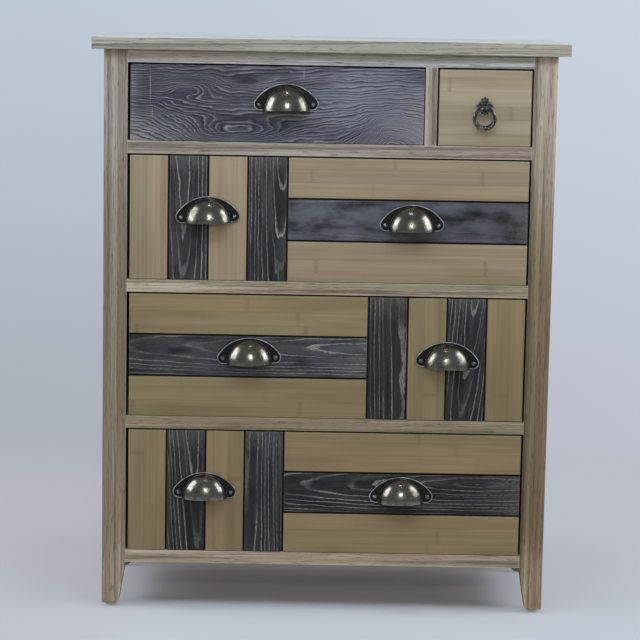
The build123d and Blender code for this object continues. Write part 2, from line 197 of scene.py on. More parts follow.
def newMaterial(name, **sockets):
    material = bpy.data.materials.new(name)
    material.use_nodes = True
    tree = material.node_tree
    shader = tree.nodes["Principled BSDF"]
    for key, value in sockets.items():
        shader.inputs[key].default_value = value
    return material, tree, shader


def finish(tree, shader, color, height, depth, strength):
    tree.links.new(color, shader.inputs["Base Color"])
    bump = put(tree, "Bump", {"Height": height, "Distance": depth, "Strength": strength})
    tree.links.new(bump.outputs[0], shader.inputs["Normal"])


def dress(thing, material):
    thing.data.materials.clear()
    thing.data.materials.append(material)


# the camera, where the photographer stood

shot = {
    "lens": 128.0,
    "sensor": 36.0,
    "place": (-0.0195, -2.979, 0.787),
    "down": 8.08,  # degrees below the horizon
    "aside": 0.22,
    "roll": 1.03,
}


def makeCamera():
    down, aside, roll = (math.radians(shot[key]) for key in ("down", "aside", "roll"))
    ahead = Vector((math.sin(aside) * math.cos(down), math.cos(aside) * math.cos(down), -math.sin(down)))
    right = Vector((math.cos(aside), -math.sin(aside), 0))
    above = right.cross(ahead)
    rolledRight = math.cos(roll) * right + math.sin(roll) * above
    rolledUp = -math.sin(roll) * right + math.cos(roll) * above
    bpy.ops.object.camera_add(location=shot["place"])
    camera = bpy.context.object
    camera.rotation_euler = Matrix((rolledRight, rolledUp, -ahead)).transposed().to_euler()
    camera.data.lens = shot["lens"]
    camera.data.sensor_width = shot["sensor"]
    bpy.context.scene.camera = camera


makeCamera()
bpy.context.scene.view_settings.view_transform = "Standard"
print("camera set")

# floor, backdrop and soft light

studio = {
    "floorColor": (0.445, 0.455, 0.485),
    "highLeft": (0.524, 0.602, 0.697),
    "highRight": (0.604, 0.680, 0.782),
    "lowLeft": (0.377, 0.398, 0.451),
    "lowRight": (0.503, 0.516, 0.599),
    "floorLeft": (0.483, 0.503, 0.570),
    "floorRight": (0.535, 0.573, 0.652),
    "bounceColor": (0.50, 0.45, 0.39),
    "gloss": {"Roughness": 0.9, "Specular IOR Level": 0.1},
    "sideSpan": (-0.6, 0.6),  # metres over which the painted glow goes from left to right and from low to high
    "heightSpan": (-0.25, 1.0),
    "footSpan": (0.0, 0.10),  # and from the floor's to the wall's
    "shadowLiftSpan": (0.20, 0.31),  # how far aside the painted light that lifts the shadow under the chest grows in
    "floorPaintedGlow": (0.09, 0.62),  # share of the painted glow in that shadow and beside it
    "wallPaintedGlow": (0.0, 0.88),
    "wallY": 0.62,
    "wallTop": 2.6,
    "halfWidth": 2.6,
    "frontY": -5.0,
    "cornerRound": 0.22,
    "cornerSteps": 16,
    "near": 0.01,
    "worldColor": (0.95, 0.97, 1.0),
    "worldStrength": 0.22,
}


def makePaper():
    material, tree, shader = newMaterial("studioPaper", **studio["gloss"])
    axes = split(tree, ownPlace(tree))
    # the camera and the metal see pale paper, while what bounces under the chest is dimmer and warmer
    path = put(tree, "LightPath").outputs
    seen = calc(tree, "MAXIMUM", path["Is Camera Ray"], path["Is Glossy Ray"])
    paper = mix(tree, seen, studio["bounceColor"], studio["floorColor"])
    tree.links.new(paper, shader.inputs["Base Color"])
    toRight = ramp(tree, axes["X"], *studio["sideSpan"])
    high = mix(tree, toRight, studio["highLeft"], studio["highRight"])
    low = mix(tree, toRight, studio["lowLeft"], studio["lowRight"])
    ground = mix(tree, toRight, studio["floorLeft"], studio["floorRight"])
    wall = mix(tree, ramp(tree, axes["Z"], *studio["heightSpan"]), low, high)
    paintedGlow = mix(tree, ramp(tree, axes["Z"], *studio["footSpan"]), ground, wall)
    paintedGlow = put(tree, "Emission", {"Color": paintedGlow}).outputs[0]
    # painted light: floor and backdrop glow for the camera, brighter to the right and higher up, least in
    # the shadow under the chest and most beside it
    aside = ramp(tree, calc(tree, "ABSOLUTE", axes["X"]), *studio["shadowLiftSpan"], studio["floorPaintedGlow"])
    share = calc(tree, "MAXIMUM", aside, ramp(tree, axes["Z"], *studio["footSpan"], studio["wallPaintedGlow"]))
    lit = put(tree, "MixShader", {0: times(tree, seen, share), 1: shader.outputs[0], 2: paintedGlow}).outputs[0]
    # seen from behind, the backdrop lets the camera look through
    facing = put(tree, "NewGeometry").outputs["Backfacing"]
    clear = put(tree, "BsdfTransparent").outputs[0]
    both = put(tree, "MixShader", {0: facing, 1: lit, 2: clear})
    tree.links.new(both.outputs[0], tree.nodes["Material Output"].inputs["Surface"])
    return material


def makeStage():
    def atWall(edge):
        return all(v.co.y > studio["wallY"] - studio["near"] for v in edge.verts)

    def atCorner(edge):
        return atWall(edge) and all(v.co.z < studio["near"] for v in edge.verts)

    bpy.ops.mesh.primitive_plane_add(size=1)
    stage = bpy.context.object
    halfDepth = (studio["wallY"] - studio["frontY"]) / 2
    stage.scale = (2 * studio["halfWidth"], 2 * halfDepth, 1)
    stage.location = (0, studio["frontY"] + halfDepth, 0)
    settle(stage, "studioFloor")
    selectWhere(stage, atWall, "EDGE")
    bpy.ops.mesh.extrude_edges_move(TRANSFORM_OT_translate={"value": (0, 0, studio["wallTop"])})
    objectMode()
    selectWhere(stage, atCorner, "EDGE")
    bpy.ops.mesh.bevel(offset=studio["cornerRound"], segments=studio["cornerSteps"])
    bpy.ops.mesh.select_all(action="SELECT")
    bpy.ops.mesh.normals_make_consistent(inside=False)
    objectMode()
    bpy.ops.object.shade_smooth()
    widest = max(stage.data.polygons, key=lambda face: face.area)
    if widest.normal.z < 0:
        stage.data.flip_normals()
    dress(stage, makePaper())


makeStage()

world = bpy.data.worlds.new("studio")
world.use_nodes = True
bpy.context.scene.world = world
world.node_tree.nodes["Background"].inputs["Color"].default_value = (*studio["worldColor"], 1)
world.node_tree.nodes["Background"].inputs["Strength"].default_value = studio["worldStrength"]

lamps = {
    "leftPanel": {"place": (-1.3, -0.35, 1.05), "aim": (0, -0.2, 0.75), "size": (1.0, 1.0), "watts": 12,
                  "color": (0.96, 0.97, 1.0)},
    "rightPanel": {"place": (1.3, -0.35, 1.05), "aim": (0, -0.2, 0.75), "size": (1.0, 1.0), "watts": 12,
                   "color": (0.96, 0.97, 1.0)},
    "overhead": {"place": (0.0, -0.2, 2.3), "aim": (0, -0.1, 0.6), "size": (0.3, 0.3), "watts": 14,
                 "color": (0.90, 0.95, 1.0), "hiddenFrom": "glossy"},
    "canopy": {"place": (0.0, -0.85, 1.55), "aim": (0, -0.1, 0.45), "size": (1.3, 0.5), "watts": 14.5,
               "color": (0.74, 0.86, 1.0), "hiddenFrom": "glossy"},
    "front": {"place": (0.1, -3.1, 1.42), "aim": (0, 0, 0.45), "size": (0.22, 0.22), "watts": 15,
              "color": (1.0, 0.90, 0.75), "hiddenFrom": "glossy"},
    "sparkle": {"place": (0.1, -3.1, 1.42), "aim": (0, 0, 0.45), "size": (0.18, 0.18), "watts": 13,
                "color": (1.0, 0.97, 0.95), "hiddenFrom": "diffuse"},
    "topSparkle": {"place": (0.0, -0.9, 2.3), "aim": (0, -0.1, 0.5), "size": (0.12, 0.12), "watts": 1.2,
                   "color": (1.0, 0.98, 0.95), "hiddenFrom": "diffuse"},
}


def makeLamps():
    for name, lamp in lamps.items():
        bpy.ops.object.light_add(type="AREA", location=lamp["place"])
        light = bpy.context.object
        light.name = name
        light.data.shape = "RECTANGLE"
        light.data.size, light.data.size_y = lamp["size"]
        light.data.energy = lamp["watts"]
        light.data.color = lamp["color"]
        light.visible_camera = False
        light.visible_glossy = lamp.get("hiddenFrom") != "glossy"
        light.visible_diffuse = lamp.get("hiddenFrom") != "diffuse"
        toward = Vector(lamp["aim"]) - Vector(lamp["place"])
        light.rotation_euler = toward.to_track_quat("-Z", "Y").to_euler()


makeLamps()
print("stage and lamps set")

# effects that several finishes share

ringShape = {
    "slowWave": (22, 22, 5.0),  # scales of the waves across, in and along the trunk
    "quickWave": (150, 150, 40),
    "widthScale": 0.37,  # how fast the rings change their width, and by how many rings
    "widthReach": 1.6,
    "lineFull": 0.86,  # where in a ring its line is full, and where it breaks off
    "lineEnd": (0.92, 0.99, (1.0, 0.0)),
}


def makeGrowthRings():
    # tree rings round the Z axis, pushed about by slow waves. Rise adds rings, as round a knot
    tree, take, give = newGroup(
        "growthRings",
        [("Place", "Vector", None), ("Spacing", "Float", 0.005), ("Wobble", "Float", 0.003),
         ("Ripple", "Float", 0.14), ("Rise", "Float", 0.0), ("Crisp", "Float", 0.52)],
        ["Ring", "Tone", "Line"],
    )
    waves = centred(tree, grain(tree, take["Place"], ringShape["slowWave"], 2.5, 0.45)["Color"])
    ripple = centred(tree, grain(tree, take["Place"], ringShape["quickWave"])["Color"])
    flatRipple = put(tree, "CombineXYZ", {"X": take["Ripple"], "Y": take["Ripple"]}).outputs[0]
    both = vecCalc(tree, "MULTIPLY_ADD", ripple, flatRipple, waves)
    moved = vecCalc(tree, "MULTIPLY_ADD", both, take["Wobble"], take["Place"])
    radius = vecCalc(tree, "LENGTH", vecCalc(tree, "MULTIPLY", moved, (1, 1, 0)))
    count = calc(tree, "ADD", calc(tree, "DIVIDE", radius, take["Spacing"]), take["Rise"])
    uneven = times(tree, count, ringShape["widthScale"])
    uneven = noise(tree, uneven, 1.0, 1, 0.5, noise_dimensions="1D")["Fac"]
    count = calc(tree, "MULTIPLY_ADD", uneven, ringShape["widthReach"], count)
    ring = calc(tree, "FRACT", count)
    tone = dice(tree, calc(tree, "FLOOR", count))["Value"]
    line = ramp(tree, ring, take["Crisp"], ringShape["lineFull"])
    line = times(tree, line, ramp(tree, ring, *ringShape["lineEnd"]))
    for label, value in (("Ring", ring), ("Tone", tone), ("Line", line)):
        tree.links.new(value, give[label])
    return tree


fibreShape = {
    "streak": (0.16, 0.24),  # scales across and along, against the threads' own
    "pore": (1.5, 5.0),
    "poreSpan": (0.60, 0.70),
}


def makeFibres():
    # fine threads along Z, soft streaks between them, and short open pores
    tree, take, give = newGroup(
        "fibres",
        [("Place", "Vector", None), ("Across", "Float", 900.0), ("Along", "Float", 14.0)],
        ["Thread", "Streak", "Pore"],
    )

    def drawnOut(across, along):
        scales = put(tree, "CombineXYZ", {"X": times(tree, take["Across"], across),
                                          "Y": times(tree, take["Across"], across),
                                          "Z": times(tree, take["Along"], along)})
        return scales.outputs[0]

    thread = grain(tree, take["Place"], drawnOut(1.0, 1.0), 3, 0.6)["Fac"]
    streak = grain(tree, take["Place"], drawnOut(*fibreShape["streak"]), 4, 0.55)["Fac"]
    dash = grain(tree, take["Place"], drawnOut(*fibreShape["pore"]), 1, 0.5)["Fac"]
    tree.links.new(thread, give["Thread"])
    tree.links.new(streak, give["Streak"])
    tree.links.new(ramp(tree, dash, *fibreShape["poreSpan"]), give["Pore"])
    return tree


wearShape = {
    "turnSpan": (0.01, 0.16),  # how far the surface turns away at a corner that shows wear
    "patchSpan": (0.32, 0.62),
}


def makeEdgeWear():
    # 1 where a corner is rubbed, broken up by noise
    tree, take, give = newGroup(
        "edgeWear",
        [("Place", "Vector", None), ("Width", "Float", 0.0015), ("Patch", "Float", 60.0)],
        ["Mask"],
    )
    rounded = put(tree, "Bevel", {"Radius": take["Width"]}, samples=6).outputs["Normal"]
    flat = put(tree, "NewGeometry").outputs["Normal"]
    turned = calc(tree, "SUBTRACT", 1.0, vecCalc(tree, "DOT_PRODUCT", rounded, flat))
    broken = noise(tree, take["Place"], take["Patch"], 3, 0.6)["Fac"]
    mask = ramp(tree, turned, *wearShape["turnSpan"])
    mask = times(tree, mask, ramp(tree, broken, *wearShape["patchSpan"]))
    tree.links.new(mask, give["Mask"])
    return tree


growthRings = makeGrowthRings()
fibres = makeFibres()
edgeWear = makeEdgeWear()

# turns that lay the length of a piece along Z, where the rings and fibres run
grainTurns = {"X": (0, -math.pi / 2, 0), "Y": (math.pi / 2, 0, 0), "Z": (0, 0, 0)}


def treePlace(tree, along, heart, lean):
    # where a point of the board was in its tree. heart is the way from the trunk's middle to the
    # board's own origin, and lean is how much the board was sawn off the trunk's line, in degrees
    upright = put(tree, "Mapping", {"Vector": ownPlace(tree), "Rotation": grainTurns[along]}).outputs[0]
    leaning = (math.radians(lean[0]), math.radians(lean[1]), 0)
    return put(tree, "Mapping", {"Vector": upright, "Location": heart, "Rotation": leaning}).outputs[0]


# washed open-grained wood of the frame. In this finish and the next ones, a scale is that of a
# noise across, in and along the board, and a blend is what lay takes

washed = {
    "pale": (0.385, 0.370, 0.325),
    "middle": (0.245, 0.222, 0.180),
    "dark": (0.090, 0.078, 0.064),
    "rose": (0.250, 0.190, 0.155),
    "olive": (0.215, 0.212, 0.145),
    "pore": (0.050, 0.042, 0.035),
    "upFacePale": (0.44, 0.47, 0.50),  # paler and bluer on the table's upper face
    "gloss": {"Roughness": 0.60, "Specular IOR Level": 0.30},
    "topGloss": {"Roughness": 0.36, "Specular IOR Level": 0.65},
    "rings": {"Spacing": 0.0046, "Wobble": 0.007, "Crisp": 0.62},
    "threads": {"Across": 620.0, "Along": 12.0},
    "wear": {"Width": 0.002, "Patch": 70.0},
    "hueScale": (80, 80, 0.6),  # bands and hair lines run nearly the whole length of a piece
    "bandScale": (78, 78, 0.45),
    "hairScale": (420, 420, 2.6),
    "washScale": (90, 90, 0.9),
    "roseBlend": (0.38, 0.49, (0.85, 0.0)),
    "oliveBlend": (0.51, 0.62, (0.0, 0.80)),
    "paleBlend": (0.46, 0.60, (0.0, 0.80)),
    "bandBlend": (0.52, 0.63, (0.0, 0.78)),
    "panelBandBlend": (0.52, 0.63, (0.0, 0.50)),  # calmer on the broad panels than on the posts
    "hairBlend": (0.58, 0.70, (0.0, 0.45)),
    "ringBlend": (0.1, 0.9, (0.10, 0.50)),
    "threadBlend": (0.50, 0.74, (0.0, 0.55)),
    "streakBlend": (0.30, 0.44, (0.40, 0.0)),
    "upFaceBlend": (0.5, 0.9, (0.0, 0.45)),
    "poreShare": 0.60,
    "wearShare": 0.7,
    "relief": (0.0003, 0.6),
}


def makeWashedWood(name, along, heart, lean, toneAndShadeTints):
    isTop = name.startswith("table")
    material, tree, shader = newMaterial(name, **washed["topGloss" if isTop else "gloss"])
    place = treePlace(tree, along, heart, lean)
    rings = useGroup(tree, growthRings, place, washed["rings"])
    threads = useGroup(tree, fibres, place, washed["threads"])
    hue = grain(tree, place, washed["hueScale"])["Fac"]
    band = grain(tree, place, washed["bandScale"], 2, 0.45)["Fac"]
    hair = grain(tree, place, washed["hairScale"], 2, 0.55)["Fac"]
    wash = splitColor(tree, grain(tree, place, washed["washScale"], 3, 0.6)["Color"])["Green"]
    bandBlend = washed["panelBandBlend" if "panel" in name else "bandBlend"]
    body = lay(tree, washed["middle"], washed["rose"], hue, washed["roseBlend"])
    body = lay(tree, body, washed["olive"], hue, washed["oliveBlend"])
    body = lay(tree, body, washed["pale"], wash, washed["paleBlend"])
    body = lay(tree, body, washed["dark"], band, bandBlend)
    body = lay(tree, body, washed["dark"], hair, washed["hairBlend"])
    grown = times(tree, rings["Line"], ramp(tree, rings["Tone"], *washed["ringBlend"]))
    body = mix(tree, grown, body, washed["dark"])
    body = lay(tree, body, washed["pale"], threads["Thread"], washed["threadBlend"])
    body = lay(tree, body, washed["dark"], threads["Streak"], washed["streakBlend"])
    body = mix(tree, times(tree, threads["Pore"], washed["poreShare"]), body, washed["pore"])
    wear = useGroup(tree, edgeWear, place, washed["wear"])["Mask"]
    body = mix(tree, times(tree, wear, washed["wearShare"]), body, washed["pale"])
    # painted light and shade: the tint changes with height, on top of its tone from board to board
    up = split(tree, ownPlace(tree))["Z"]
    heights = sorted(toneAndShadeTints)
    tint = toneAndShadeTints[heights[0]]
    for below, above in zip(heights, heights[1:]):
        tint = mix(tree, ramp(tree, up, below, above), tint, toneAndShadeTints[above])
    body = tinted(tree, body, tint)
    if isTop:
        # paler and bluer where the table faces up
        facing = split(tree, put(tree, "NewGeometry").outputs["Normal"])["Z"]
        body = lay(tree, body, washed["upFacePale"], facing, washed["upFaceBlend"])
    relief = calc(tree, "SUBTRACT", threads["Thread"], threads["Pore"])
    finish(tree, shader, body, relief, *washed["relief"])
    return material


# grain, heart, lean, and the tints at some heights, of every piece of the frame. The tints differ as no two
# were cut from the same board, and they paint light and shade as well: lighter high up, darker lower down,
# lighter again at the feet and on the bottom rail where light from the floor falls, and lighter on the top
# rail in the shade under the table's overhang
framePieces = {
    "table_top": ("X", (0.02, 0.055, 0), (0.4, 1.2), {0.7: (1.15, 1.17, 1.20)}),
    "front_left_leg": ("Z", (0.31, 0.14, 0), (0.15, 0.1), {
        0.04: (1.19, 1.14, 1.08),
        0.12: (0.88, 0.82, 0.71),
        0.42: (0.71, 0.69, 0.60),
        0.66: (0.89, 0.88, 0.87),
    }),
    "front_right_leg": ("Z", (-0.22, 0.20, 0.4), (0.2, -0.1), {
        0.04: (1.02, 0.91, 0.73),
        0.12: (0.58, 0.47, 0.34),
        0.42: (0.73, 0.60, 0.45),
        0.66: (1.26, 1.19, 1.15),
    }),
    "rear_left_leg": ("Z", (0.35, 0.02, 0.9), (0.2, 0.1), {
        0.1: (0.96, 0.90, 0.80),
        0.6: (1.0, 1.0, 1.0),
    }),
    "rear_right_leg": ("Z", (-0.20, -0.05, 1.3), (0.1, 0.2), {
        0.1: (0.94, 0.86, 0.76),
        0.6: (1.0, 0.98, 0.95),
    }),
    "top_front_rail": ("X", (-0.66, 0.16, 0.2), (0.7, 0.4), {0.7: (1.35, 1.43, 1.70)}),
    "front_rail_1": ("X", (-0.55, 0.17, 0.7), (0.6, 0.5), {0.6: (1.25, 1.23, 1.26)}),
    "front_rail_2": ("X", (-0.37, 0.15, 1.1), (0.9, 0.4), {0.4: (1.24, 1.20, 1.07)}),
    "front_rail_3": ("X", (-0.20, 0.18, 1.6), (0.7, 0.3), {0.2: (0.99, 0.94, 0.78)}),
    "bottom_front_rail": ("X", (-0.03, 0.15, 2.1), (0.8, 0.4), {0.1: (1.50, 1.36, 1.30)}),
    "drawer_divider": ("Z", (-0.09, 0.15, 2.6), (0.4, 0.6), {0.6: (1.32, 1.24, 1.26)}),
    "left_side_panel": ("Z", (0.22, 0.05, 3.0), (0.5, 1.8), {
        0.1: (0.96, 0.90, 0.80),
        0.6: (0.98, 0.98, 0.98),
    }),
    "right_side_panel": ("Z", (-0.33, 0.03, 3.6), (0.6, 1.5), {
        0.1: (0.94, 0.87, 0.77),
        0.6: (0.98, 0.97, 0.95),
    }),
}
for node, (along, heart, lean, toneAndShadeTints) in framePieces.items():
    dress(nodes[node], makeWashedWood(node + "Wood", along, heart, lean, toneAndShadeTints))
print("frame wood done")

# plain inner woods

planed = {
    "pale": (0.46, 0.37, 0.245),
    "deep": (0.33, 0.24, 0.140),
    "line": (0.25, 0.165, 0.090),
    "rough": 0.62,
    "wobble": 0.010,
    "threads": {"Across": 900.0, "Along": 16.0},
    "streakBlend": (0.3, 0.7),
    "threadBlend": (0.4, 0.8, (0.0, 0.3)),
    "lineShare": 0.45,
    "relief": (0.0002, 0.4),
}


def makePlanedWood(name, along, heart, lean, spacing=0.004, tint=(1.0, 1.0, 1.0)):
    material, tree, shader = newMaterial(name, Roughness=planed["rough"])
    place = treePlace(tree, along, heart, lean)
    rings = useGroup(tree, growthRings, place, {"Spacing": spacing, "Wobble": planed["wobble"]})
    threads = useGroup(tree, fibres, place, planed["threads"])
    body = lay(tree, planed["deep"], planed["pale"], threads["Streak"], planed["streakBlend"])
    body = mix(tree, times(tree, rings["Line"], planed["lineShare"]), body, planed["line"])
    body = lay(tree, body, planed["pale"], threads["Thread"], planed["threadBlend"])
    finish(tree, shader, tinted(tree, body, tint), threads["Thread"], *planed["relief"])
    return material


boxWoodAcross = makePlanedWood("boxWoodAcross", "X", (0.1, 0.06, 0.3), (1.1, 2.0))
boxWoodDeep = makePlanedWood("boxWoodDeep", "Y", (0.12, 0.05, 0.7), (1.6, 1.0))
boxWoodUp = makePlanedWood("boxWoodUp", "Z", (0.2, 0.05, 1.1), (1.2, 1.4))
plywoodFace = makePlanedWood("plywoodFace", "X", (0.0, 0.09, 0.0), (2.6, 0.8), 0.009, (1.05, 1.0, 0.92))
backPlywood = makePlanedWood("backPlywood", "Z", (0.03, 0.10, 0.0), (0.8, 2.2), 0.010, (0.95, 0.93, 0.90))
for node in nodes:
    if node.endswith("_sides") or node.endswith("_runners") or node in ("partition_runner", "top_kickers"):
        dress(nodes[node], boxWoodDeep)
    elif node.endswith("drawer_back") or node == "rear_rails":
        dress(nodes[node], boxWoodAcross)
    elif node in ("top_partition", "drawer_stops"):
        dress(nodes[node], boxWoodUp)
    elif node.endswith("_bottom"):
        dress(nodes[node], plywoodFace)
dress(nodes["back_panel"], backPlywood)
print("inner woods done")

# the two kinds of slat and the plain fronts

bamboo = {
    "strip": 0.0172,
    "stripUneven": 0.25,
    "boardStep": 3.7,  # sets the strips of one board apart from the next one's
    "culmNode": 0.215,  # from one joint of the cane to the next
    "culmStart": 7.0,  # joints by which one strip's may lie higher than another's
    "pale": (0.305, 0.258, 0.168),
    "deep": (0.186, 0.144, 0.081),
    "warm": (0.250, 0.175, 0.108),
    "olive": (0.225, 0.208, 0.135),
    "dimmest": (0.80, 0.77, 0.71),
    "brightest": (1.17, 1.17, 1.17),
    "knuckle": (0.135, 0.090, 0.045),
    "glue": (0.120, 0.085, 0.050),
    "gloss": {"Roughness": 0.48, "Specular IOR Level": 0.45},
    "threads": {"Across": 1500.0, "Along": 9.0},
    "wideScale": (260, 3, 3.0),
    "driftScale": (45, 1, 4.5),
    "raggedScale": (420, 10, 160),
    "paleBlend": (0.25, 0.75, (0.35, 0.80)),
    "warmBlend": (0.35, 1.0, (0.0, 0.70)),
    "oliveBlend": (0.35, 1.0, (0.0, 0.60)),
    "driftBlend": (0.40, 0.66, (0.0, 0.75)),
    "threadBlend": (0.30, 0.72, (0.26, 0.0)),
    "streakBlend": (0.45, 0.70, (0.0, 0.22)),
    "glueSpan": (0.482, 0.497),  # of a strip's width, from its middle
    "glueShare": 0.55,
    "glueDepth": 1.5,
    "knuckleSpan": (0.008, 0.034, (1.0, 0.0)),
    "knuckleRagged": 0.022,
    "knuckleShare": (0.2, 0.9, (0.10, 0.62)),
    "knuckleThreads": (0.28, 0.60, (0.45, 1.0)),
    "relief": (0.00015, 0.35),
}


def fromMiddle(tree, value):
    # how far a value is from the middle between two whole numbers
    return calc(tree, "ABSOLUTE", calc(tree, "SUBTRACT", calc(tree, "FRACT", value), 0.5))


def makeBamboo(name, tint, mapping=None):
    # the board's own place: X across the strips, Z along them, Y tells boards apart
    material, tree, shader = newMaterial(name, **bamboo["gloss"])
    if mapping:
        place = put(tree, "Mapping", {"Vector": ownPlace(tree), **mapping}).outputs[0]
    else:
        place = put(tree, "Attribute", attribute_name="boardPlace").outputs["Vector"]
    axes = split(tree, place)
    lane = calc(tree, "DIVIDE", axes["X"], bamboo["strip"])
    uneven = calc(tree, "ADD", calc(tree, "FLOOR", lane), axes["Y"])
    uneven = noise(tree, uneven, 1.0, 0, 0.5, noise_dimensions="1D")["Fac"]
    lane = calc(tree, "MULTIPLY_ADD", uneven, bamboo["stripUneven"], lane)
    laneId = calc(tree, "ADD", calc(tree, "FLOOR", lane), times(tree, axes["Y"], bamboo["boardStep"]))
    joint = ramp(tree, fromMiddle(tree, lane), *bamboo["glueSpan"])
    wide = grain(tree, place, bamboo["wideScale"], 3)["Fac"]
    drift = grain(tree, place, bamboo["driftScale"])["Fac"]
    threads = useGroup(tree, fibres, place, bamboo["threads"])
    body = lay(tree, bamboo["deep"], bamboo["pale"], wide, bamboo["paleBlend"])
    luck = dice(tree, laneId)
    laneHue = splitColor(tree, luck["Color"])
    body = lay(tree, body, bamboo["warm"], laneHue["Red"], bamboo["warmBlend"])
    body = lay(tree, body, bamboo["olive"], laneHue["Blue"], bamboo["oliveBlend"])
    body = tinted(tree, body, mix(tree, luck["Value"], bamboo["dimmest"], bamboo["brightest"]))
    body = lay(tree, body, bamboo["deep"], drift, bamboo["driftBlend"])
    body = lay(tree, body, bamboo["deep"], threads["Thread"], bamboo["threadBlend"])
    body = lay(tree, body, bamboo["pale"], threads["Streak"], bamboo["streakBlend"])
    # a joint of the cane crosses each strip at its own height
    phase = times(tree, dice(tree, calc(tree, "ADD", laneId, 0.31))["Value"], bamboo["culmStart"])
    climb = calc(tree, "ADD", calc(tree, "DIVIDE", axes["Z"], bamboo["culmNode"]), phase)
    ragged = grain(tree, place, bamboo["raggedScale"], 3, 0.6)["Fac"]
    away = calc(tree, "MULTIPLY_ADD", ragged, bamboo["knuckleRagged"], fromMiddle(tree, climb))
    strength = ramp(tree, laneHue["Green"], *bamboo["knuckleShare"])
    strength = times(tree, strength, ramp(tree, threads["Thread"], *bamboo["knuckleThreads"]))
    band = ramp(tree, away, *bamboo["knuckleSpan"])
    body = mix(tree, times(tree, band, strength), body, bamboo["knuckle"])
    body = mix(tree, times(tree, joint, bamboo["glueShare"]), body, bamboo["glue"])
    height = calc(tree, "SUBTRACT", threads["Thread"], times(tree, joint, bamboo["glueDepth"]))
    finish(tree, shader, tinted(tree, body, tint), height, *bamboo["relief"])
    return material


stained = {
    "ground": (0.0092, 0.0098, 0.0108),
    "soft": (0.048, 0.049, 0.049),
    "line": (0.265, 0.265, 0.250),
    "endGrey": (0.105, 0.105, 0.098),
    "worn": (0.240, 0.232, 0.210),
    "blue": (0.092, 0.099, 0.122),
    "gloss": {"Roughness": 0.55, "Specular IOR Level": 0.22},
    "rings": {"Spacing": 0.0043, "Wobble": 0.008, "Ripple": 0.26, "Crisp": 0.68},
    "threads": {"Across": 800.0, "Along": 20.0},
    "wear": {"Width": 0.0016, "Patch": 150.0},
    "patchScale": (38, 9, 11),
    "hazeScale": (60, 5, 24),
    "raggedScale": (1100, 5, 210),
    "brushedScale": (430, 430, 9),
    "streakBlend": (0.42, 0.75, (0.0, 0.8)),
    "brushedSpan": (0.50, 0.72),
    "brushedPatch": (0.36, 0.62, (0.15, 0.75)),
    "hazeSpan": (0.28, 0.66),
    "endHaze": 0.26,
    "endBlend": (0.92, 1.20, (0.0, 0.8)),
    "endRagged": (0.36, 0.62, (0.25, 1.0)),
    "linePatch": (0.32, 0.56, (0.25, 1.0)),
    "lineTone": (0.0, 0.8, (0.35, 1.0)),
    "lineRagged": (0.36, 0.58, (0.22, 1.0)),
    "wearShare": 0.75,
    "lineRelief": 0.8,
    "relief": (0.0004, 0.7),
}


def makeStained(name):
    # charcoal stain, brushed and rubbed back so that the hard grain shows pale
    material, tree, shader = newMaterial(name, **stained["gloss"])
    place = put(tree, "Attribute", attribute_name="treePlace").outputs["Vector"]
    board = put(tree, "Attribute", attribute_name="boardPlace").outputs["Vector"]
    # red is the share of the lines, green of the haze, and blue runs from -1 to 1 along the slat
    look = splitColor(tree, put(tree, "Attribute", attribute_name="rubbed").outputs["Color"])
    rings = useGroup(tree, growthRings, place, stained["rings"])
    threads = useGroup(tree, fibres, place, stained["threads"])
    patch = grain(tree, board, stained["patchScale"])["Fac"]
    haze = grain(tree, board, stained["hazeScale"], 3, 0.55)["Fac"]
    ragged = grain(tree, board, stained["raggedScale"], 2, 0.6)["Fac"]
    brushed = grain(tree, place, stained["brushedScale"], 3, 0.6)["Fac"]
    body = lay(tree, stained["ground"], stained["soft"], threads["Streak"], stained["streakBlend"])
    brushed = ramp(tree, brushed, *stained["brushedSpan"])
    brushed = times(tree, brushed, ramp(tree, patch, *stained["brushedPatch"]))
    body = mix(tree, brushed, body, stained["soft"])
    rubbedHaze = times(tree, ramp(tree, haze, *stained["hazeSpan"]), look["Green"])
    body = mix(tree, rubbedHaze, body, stained["blue"])
    # the ends of a slat were brushed down further
    toEnd = calc(tree, "MULTIPLY_ADD", haze, stained["endHaze"], calc(tree, "ABSOLUTE", look["Blue"]))
    endRub = ramp(tree, toEnd, *stained["endBlend"])
    endRub = times(tree, endRub, ramp(tree, ragged, *stained["endRagged"]))
    body = mix(tree, endRub, body, stained["endGrey"])
    broken = ramp(tree, patch, *stained["linePatch"])
    faint = ramp(tree, rings["Tone"], *stained["lineTone"])
    lines = times(tree, rings["Line"], broken, faint, ramp(tree, ragged, *stained["lineRagged"]))
    body = mix(tree, times(tree, lines, look["Red"]), body, stained["line"])
    wear = useGroup(tree, edgeWear, board, stained["wear"])["Mask"]
    body = mix(tree, times(tree, wear, stained["wearShare"]), body, stained["worn"])
    relief = calc(tree, "ADD", times(tree, rings["Line"], stained["lineRelief"]), threads["Thread"])
    finish(tree, shader, body, relief, *stained["relief"])
    return material


slatCut = {
    "uprightBlock": 0.198,
    "uprights": 4,
    "levels": 3,
    "gap": 0.0025,
    "thickness": 0.006,
    "edge": 0.0009,
    "edgeSteps": 3,
    "edgeProfile": 0.6,
    "smoothAngle": 40,
    "boardSteps": (0.013, 0.061),  # by how much the grain is moved on from one slat to the next
}

